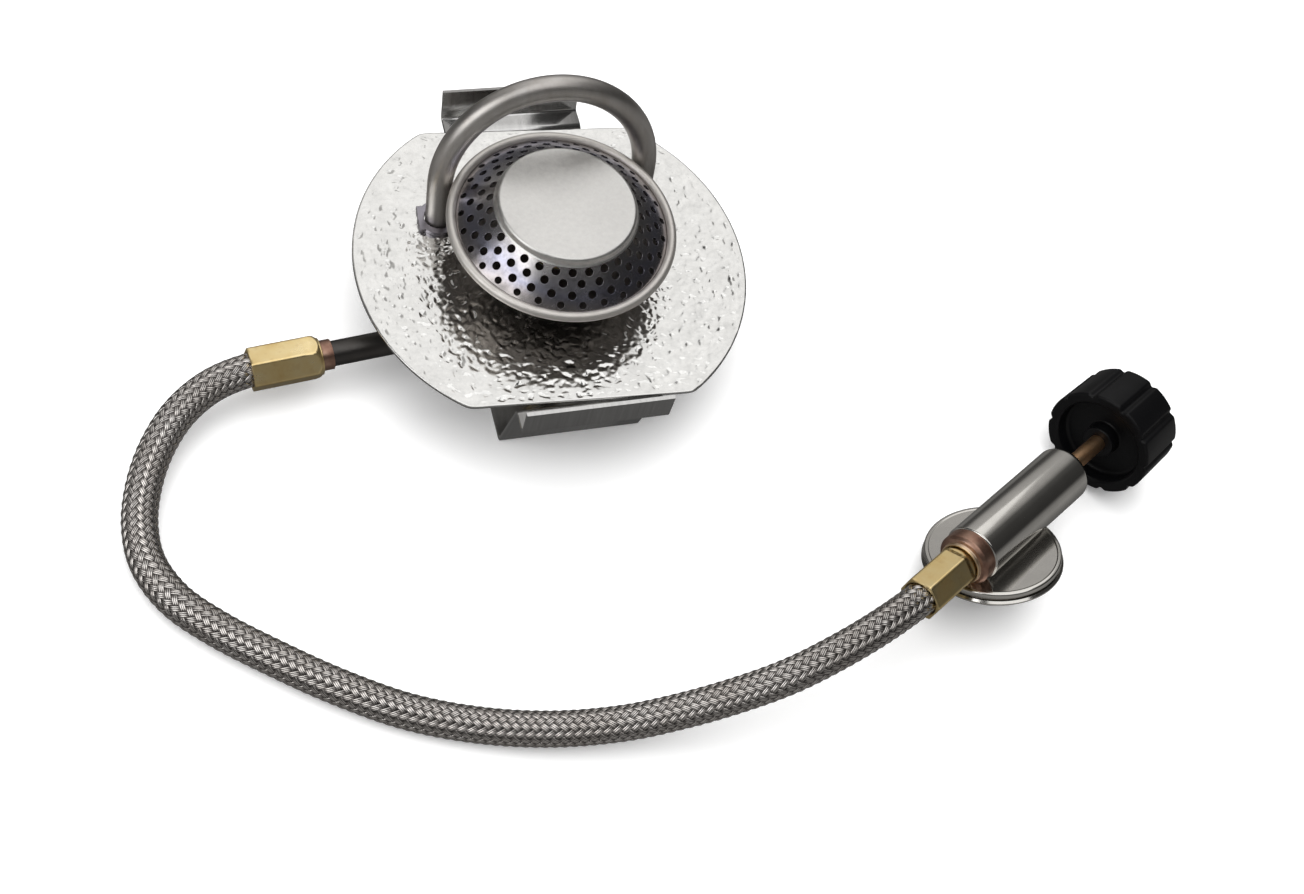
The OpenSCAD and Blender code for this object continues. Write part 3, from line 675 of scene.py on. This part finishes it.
class Nodes:
    """Short names for building a material's nodes."""

    def __init__(self, name, **settings):
        self.material = bpy.data.materials.new(name)
        self.material.use_nodes = True
        self.tree = self.material.node_tree
        self.shader = self.tree.nodes["Principled BSDF"]
        for key, value in settings.items():
            self.shader.inputs[key.replace("_", " ")].default_value = value
        self.place = self.add("ShaderNodeTexCoord").outputs["Object"]

    def add(self, kind, **settings):
        node = self.tree.nodes.new(kind)
        for key, value in settings.items():
            setattr(node, key, value)
        return node

    def link(self, output, target):
        self.tree.links.new(output, target)

    def scaled(self, scale):
        """The piece's own coordinates, stretched by one factor for each axis."""
        node = self.add("ShaderNodeMapping")
        self.link(self.place, node.inputs["Vector"])
        node.inputs["Scale"].default_value = scale
        return node.outputs["Vector"]

    def noise(self, scale, detail=4, rough=0.55, source=None):
        node = self.add("ShaderNodeTexNoise")
        self.link(source or self.place, node.inputs["Vector"])
        node.inputs["Scale"].default_value = scale
        node.inputs["Detail"].default_value = detail
        node.inputs["Roughness"].default_value = rough
        return node.outputs["Fac"]

    def ramp(self, value, *stops):
        """Colours, or greys, at their places along a ramp."""
        node = self.add("ShaderNodeValToRGB")
        self.link(value, node.inputs["Fac"])
        elements = node.color_ramp.elements
        while len(elements) < len(stops):
            elements.new(0.5)
        for element, (at, colour) in zip(elements, stops):
            element.position = at
            element.color = (*colour, 1) if hasattr(colour, "__len__") else (colour, colour, colour, 1)
        return node.outputs["Color"]

    def span(self, value, low, high, out_low, out_high):
        """A value carried from one range to another, and held at its ends."""
        node = self.add("ShaderNodeMapRange")
        self.link(value, node.inputs["Value"])
        for key, number in zip(("From Min", "From Max", "To Min", "To Max"), (low, high, out_low, out_high)):
            node.inputs[key].default_value = number
        return node.outputs["Result"]

    def mix(self, share, a, b, how="MIX"):
        node = self.add("ShaderNodeMix", data_type="RGBA", blend_type=how)
        for value, key in ((share, 0), (a, 6), (b, 7)):
            if hasattr(value, "is_linked"):
                self.link(value, node.inputs[key])
            elif key == 0:
                node.inputs[0].default_value = value
            else:
                node.inputs[key].default_value = (*value, 1)
        return node.outputs[2]

    def math(self, how, a, b=0.0, c=0.0):
        node = self.add("ShaderNodeMath", operation=how)
        for value, key in ((a, 0), (b, 1), (c, 2)):
            if hasattr(value, "is_linked"):
                self.link(value, node.inputs[key])
            else:
                node.inputs[key].default_value = value
        return node.outputs[0]

    def axis(self, name):
        node = self.add("ShaderNodeSeparateXYZ")
        self.link(self.place, node.inputs[0])
        return node.outputs[name]

    def axis_distance(self):
        """Distance from the Z axis, in metres."""
        x, y = self.axis("X"), self.axis("Y")
        return self.math("SQRT", self.math("ADD", self.math("MULTIPLY", x, x), self.math("MULTIPLY", y, y)))

    def attribute(self, name):
        return self.add("ShaderNodeAttribute", attribute_name=name).outputs["Fac"]

    def colour(self, value):
        self.link(value, self.shader.inputs["Base Color"])

    def rough(self, value):
        self.link(value, self.shader.inputs["Roughness"])

    def bump(self, height, distance, edge=0.0):
        """Fine relief of a height in millimetres, over edges rounded by a radius in millimetres."""
        node = self.add("ShaderNodeBump")
        self.link(height, node.inputs["Height"])
        node.inputs["Distance"].default_value = distance * MM
        node.inputs["Strength"].default_value = 1.0
        if edge:
            bevel = self.add("ShaderNodeBevel", samples=4)
            bevel.inputs["Radius"].default_value = edge * MM
            self.link(bevel.outputs["Normal"], node.inputs["Normal"])
        self.link(node.outputs["Normal"], self.shader.inputs["Normal"])


def metal(name, base, dark, rough, grain, bump=0.004, patch=60, edge=0.0, spread=0.3):
    """Metal with cloudy tone, stretched grain lines and uneven gloss."""
    m = Nodes(name, Metallic=1.0)
    cloud = m.noise(patch, 5, 0.6)
    lines = m.noise(1.0, 3, 0.7, m.scaled(grain))
    tone = m.ramp(cloud, (0.3, dark), (0.62, base))
    shade = m.ramp(lines, (0.25, 0.82), (0.75, 1.0))
    m.colour(m.mix(1.0, tone, shade, "MULTIPLY"))
    gloss = m.math("ADD", m.math("MULTIPLY", cloud, 0.6), m.math("MULTIPLY", lines, 0.4))
    m.rough(m.span(gloss, 0.3, 0.7, rough * (1 - spread), rough * (1 + spread)))
    m.bump(lines, bump, edge=edge)
    return m


aluminium = metal("plate_aluminium", (0.90, 0.895, 0.875), (0.84, 0.835, 0.815), 0.15, (300, 300, 300),
                  bump=0.006, patch=90)
stainless = metal("strap_steel", (0.74, 0.735, 0.725), (0.66, 0.655, 0.65), 0.16, (900, 18, 18),
                  bump=0.001, spread=0.15)
fastener = metal("fastener_steel", (0.50, 0.49, 0.47), (0.40, 0.39, 0.37), 0.32, (500, 500, 500), edge=0.15)
satin = metal("satin_steel", (0.87, 0.86, 0.835), (0.82, 0.81, 0.785), 0.38, (700, 700, 700))
dark = metal("clip_steel", (0.40, 0.38, 0.42), (0.28, 0.265, 0.30), 0.30, (400, 400, 400), edge=0.12)
nickel = metal("valve_nickel", (0.76, 0.74, 0.70), (0.70, 0.68, 0.645), 0.14, (60, 60, 60),
               bump=0.0003, patch=25, spread=0.1)


def make_brass():
    """Cloudy turned brass with a few dull stains."""
    m = Nodes("turned_brass", Metallic=1.0)
    cloud = m.noise(160, 6, 0.62)
    stain = m.noise(420, 4, 0.6)
    tone = m.ramp(cloud, (0.28, (0.90, 0.66, 0.29)), (0.5, (0.97, 0.76, 0.38)), (0.72, (1.0, 0.83, 0.48)))
    m.colour(m.mix(1.0, tone, m.ramp(stain, (0.3, (0.93, 0.90, 0.86)), (0.45, 1.0)), "MULTIPLY"))
    m.rough(m.span(cloud, 0.3, 0.7, 0.36, 0.26))
    m.bump(m.noise(900, 3), 0.003, edge=0.2)
    return m


def make_spindle_brass():
    """Redder and duller brass."""
    m = Nodes("spindle_brass", Metallic=1.0)
    cloud = m.noise(260, 5, 0.6)
    m.colour(m.ramp(cloud, (0.3, (0.62, 0.36, 0.19)), (0.7, (0.90, 0.60, 0.36))))
    m.rough(m.span(cloud, 0.3, 0.7, 0.46, 0.34))
    m.bump(m.noise(900, 3), 0.004, edge=0.1)
    return m


def make_copper():
    """Heat-darkened copper, with the union's raised lip in a much brighter colour."""
    m = Nodes("brazed_copper", Metallic=1.0)
    cloud = m.noise(220, 6, 0.65)
    tone = m.ramp(cloud, (0.28, (0.26, 0.14, 0.105)), (0.5, (0.42, 0.25, 0.185)), (0.7, (0.56, 0.37, 0.28)))
    m.colour(m.mix(m.attribute("lip"), tone, (0.92, 0.72, 0.50)))
    m.rough(m.span(cloud, 0.3, 0.7, 0.42, 0.32))
    m.bump(m.noise(900, 3), 0.003, edge=0.15)
    return m


def make_cone_steel():
    """Polished cone, tinted blue and violet by heat towards its lower edge."""
    m = Nodes("cone_steel", Metallic=1.0)
    wander = m.math("MULTIPLY_ADD", m.noise(90, 4), 8 * MM, m.axis_distance())
    down_cone = m.span(wander, 19 * MM, 31 * MM, 0, 1)
    tint = m.ramp(down_cone, (0.0, (0.66, 0.64, 0.62)), (0.35, (0.56, 0.54, 0.56)),
                  (0.62, (0.44, 0.44, 0.54)), (0.85, (0.47, 0.435, 0.435)), (1.0, (0.36, 0.34, 0.33)))
    soot = m.noise(260, 5, 0.65)
    m.colour(m.mix(1.0, tint, m.ramp(soot, (0.3, 0.62), (0.6, 1.0)), "MULTIPLY"))
    m.rough(m.span(soot, 0.3, 0.7, 0.30, 0.16))
    m.bump(m.noise(500, 3), 0.006, edge=0.15)
    return m


def make_cup_steel():
    """Cup: a satin rolled rim over a much darker bowl."""
    m = Nodes("cup_steel", Metallic=1.0)
    high = m.span(m.axis("Z"), 37.0 * MM, 37.6 * MM, 0, 1)
    wide = m.span(m.axis_distance(), 24.8 * MM, 25.2 * MM, 0, 1)
    rim = m.math("MULTIPLY", high, wide)
    cloud = m.noise(150, 5, 0.6)
    bowl = m.ramp(cloud, (0.3, (0.17, 0.155, 0.145)), (0.7, (0.34, 0.31, 0.285)))
    lip = m.ramp(cloud, (0.3, (0.80, 0.765, 0.725)), (0.7, (0.90, 0.865, 0.825)))
    m.colour(m.mix(rim, bowl, lip))
    m.rough(m.math("ADD", m.span(cloud, 0.3, 0.7, 0.40, 0.32), m.math("MULTIPLY", rim, 0.16)))
    m.bump(m.noise(800, 3), 0.005, edge=0.1)
    return m


def make_loop_steel():
    """Warm grey tube, lightest over the arch and darker towards both low ends, near black at the feed:
    painted shade where it runs low under the plate.
    """
    m = Nodes("loop_steel", Metallic=1.0)
    along = m.attribute("along")
    cloud = m.noise(130, 5, 0.6)
    streak = m.noise(1.0, 4, 0.6, m.scaled((260, 260, 60)))
    wander = m.math("MULTIPLY_ADD", cloud, 0.06, along)
    # painted shade: the low ends under the plate darker than the arch, the feed near black
    tone = m.ramp(wander, (0.0, (0.10, 0.095, 0.09)), (0.20, (0.16, 0.15, 0.145)),
                  (0.36, (0.50, 0.485, 0.465)), (0.55, (0.60, 0.58, 0.56)), (0.80, (0.67, 0.645, 0.62)),
                  (1.0, (0.46, 0.44, 0.425)))
    m.colour(m.mix(1.0, tone, m.ramp(streak, (0.3, (0.84, 0.82, 0.80)), (0.65, 1.0)), "MULTIPLY"))
    m.rough(m.span(cloud, 0.3, 0.7, 0.44, 0.36))
    m.bump(streak, 0.002)
    return m


def make_braid():
    """Bright wires with painted shade that darkens them with their depth in the braid."""
    m = Nodes("hose_braid", Metallic=1.0)
    braid_shade_depth = m.attribute("depth")
    cloud = m.noise(120, 4)
    # painted shade: the deeper in the braid, the darker, down to near black
    tone = m.ramp(braid_shade_depth, (0.0, (0.90, 0.87, 0.845)), (0.2, (0.62, 0.59, 0.565)), (0.45, (0.22, 0.205, 0.197)),
                  (0.8, (0.045, 0.042, 0.04)))
    m.colour(m.mix(1.0, tone, m.ramp(cloud, (0.3, (0.88, 0.86, 0.84)), (0.7, 1.0)), "MULTIPLY"))
    m.rough(m.span(cloud, 0.3, 0.7, 0.27, 0.18))
    m.bump(m.noise(2200, 2), 0.003)
    return m


def make_plastic():
    """Nearly black moulded plastic with a fine grain."""
    m = Nodes("knob_plastic", Metallic=0.0, Specular_IOR_Level=0.22)
    fine = m.noise(1500, 3, 0.6)
    cloud = m.noise(90, 4)
    m.colour(m.ramp(cloud, (0.3, (0.002, 0.002, 0.0024)), (0.7, (0.0036, 0.0036, 0.004))))
    m.rough(m.span(cloud, 0.3, 0.7, 0.42, 0.32))
    m.bump(fine, 0.012)
    return m


def make_rubber():
    """Dull dark rubber."""
    m = Nodes("seal_rubber", Metallic=0.0)
    fine = m.noise(900, 3)
    m.colour(m.ramp(fine, (0.3, (0.018, 0.018, 0.018)), (0.7, (0.035, 0.034, 0.033))))
    m.rough(m.span(fine, 0.3, 0.7, 0.7, 0.55))
    m.bump(fine, 0.01)
    return m


brass, copper, cone_steel, cup_steel = make_brass(), make_copper(), make_cone_steel(), make_cup_steel()
spindle_brass = make_spindle_brass()
loop_steel, braid, plastic, rubber = make_loop_steel(), make_braid(), make_plastic(), make_rubber()

FINISH = {
    "stand_rivets": fastener, "jet_block": brass, "jet_filter": copper, "jet_washer": copper,
    "gas_jet": brass, "mixing_tube": satin, "reflector_nut": fastener, "burner_cup": cup_steel,
    "flame_cone": cone_steel, "tube_clips": dark, "nipple_burner": copper, "nipple_valve": brass,
    "valve_seat": brass, "coupling_ring": nickel, "canister_seal": rubber, "depressor_pin": brass,
    "valve_spindle": spindle_brass, "gland_bush": brass, "spindle_seal": rubber,
}


def paint(obj, finish):
    obj.data.materials.clear()
    obj.data.materials.append(finish.material)


for node, finish in FINISH.items():
    paint(nodes[node], finish)
for piece, finish in ((hose, braid), (ferrule_a, brass), (ferrule_b, brass), (plate, aluminium),
                      (strap, stainless), (tube, loop_steel), (cap, satin), (housing, nickel),
                      (union_ring, copper), (knob, plastic)):
    paint(piece, finish)

# ---------------------------------------------------------------- floor and light


def make_floor():
    """Plain pale paper, a little self-lit so that shadows on it stay soft, and unseen in reflections."""
    mesh = bpy.data.meshes.new("floor")
    half, gap = 3.0, 0.05 * MM
    z = min(0.0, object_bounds()[0][2]) - gap
    corners = [(-half, -half, z), (half, -half, z), (half, half, z), (-half, half, z)]
    mesh.from_pydata(corners, [], [(0, 1, 2, 3)])
    floor = bpy.data.objects.new("floor", mesh)
    bpy.context.scene.collection.objects.link(floor)
    m = Nodes("floor_paper", Metallic=0.0, Emission_Strength=0.2)
    grain = m.noise(40, 3)
    m.colour(m.ramp(grain, (0.3, (0.90, 0.90, 0.90)), (0.7, (0.92, 0.92, 0.92))))
    m.rough(m.span(grain, 0.3, 0.7, 0.85, 0.8))
    paint(floor, m)
    floor.visible_glossy = False


def make_card(name, towards, distance, size, radiance, shines=True):
    """A soft rectangular light facing the object; `shines` says whether metal mirrors it.

    Its distance and size are in millimetres; a radiance of 1 is as bright as white.
    """
    at = Vector(towards).normalized() * distance
    data = bpy.data.lights.new(name, "AREA")
    data.shape = "RECTANGLE"
    data.size, data.size_y = size[0] * MM, size[1] * MM
    data.energy = math.pi * data.size * data.size_y * radiance
    light = bpy.data.objects.new(name, data)
    light.matrix_world = axis_frame(at * MM, at)
    light.visible_glossy = shines
    bpy.context.scene.collection.objects.link(light)


def make_world():
    """Studio surroundings: bright behind and above, dark elsewhere, grey below and low in front."""
    world = bpy.data.worlds.new("studio")
    bpy.context.scene.world = world
    world.use_nodes = True
    tree = world.node_tree
    background = tree.nodes["Background"]
    direction = tree.nodes.new("ShaderNodeTexCoord").outputs["Generated"]

    def towards(axis):
        """How far a direction points along an axis."""
        node = tree.nodes.new("ShaderNodeVectorMath")
        node.operation = "DOT_PRODUCT"
        node.inputs[1].default_value = axis
        tree.links.new(direction, node.inputs[0])
        return node.outputs["Value"]

    def share(value, low, high):
        """0 at low, 1 at high."""
        node = tree.nodes.new("ShaderNodeMapRange")
        node.inputs["From Min"].default_value = low
        node.inputs["From Max"].default_value = high
        tree.links.new(value, node.inputs["Value"])
        return node.outputs["Result"]

    def tones(value, *stops):
        """Slightly warm greys along a colour ramp."""
        node = tree.nodes.new("ShaderNodeValToRGB")
        elements = node.color_ramp.elements
        while len(elements) < len(stops):
            elements.new(0.5)
        for element, (at, tone) in zip(elements, stops):
            element.position = at
            element.color = (tone, tone * 0.985, tone * 0.965, 1)
        tree.links.new(value, node.inputs["Fac"])
        return node.outputs["Color"]

    sky = tones(towards(Vector((0.05, 0.8, 0.6)).normalized()), (0.0, 0.03), (0.55, 0.05), (0.74, 0.09),
                (0.85, 0.36), (0.94, 0.46), (1.0, 0.5))
    ground = tones(share(towards((0, 0, 1)), -1.0, 0.2), (0.0, 0.09), (0.3, 0.14), (0.65, 0.29), (1.0, 0.20))
    # the horizon stands higher in front, where the ground's grey reaches up
    below = share(towards((0, 0.5, 1)), 0.18, -0.04)
    choose = tree.nodes.new("ShaderNodeMix")
    choose.data_type = "RGBA"
    for value, socket in ((below, 0), (sky, 6), (ground, 7)):
        tree.links.new(value, choose.inputs[socket])
    tree.links.new(choose.outputs[2], background.inputs["Color"])
    background.inputs["Strength"].default_value = 1.0


make_floor()
make_world()
make_card("wash", (0, 0, 1), 1200, (1400, 1400), 2.9, shines=False)
make_card("back_card", (0.24, 0.59, 0.77), 900, (600, 620), 0.57)
make_card("top_card", (0.08, -0.08, 1.0), 1000, (850, 850), 1.05)
make_card("left_card", (-0.70, -0.20, 0.64), 700, (540, 460), 1.9)
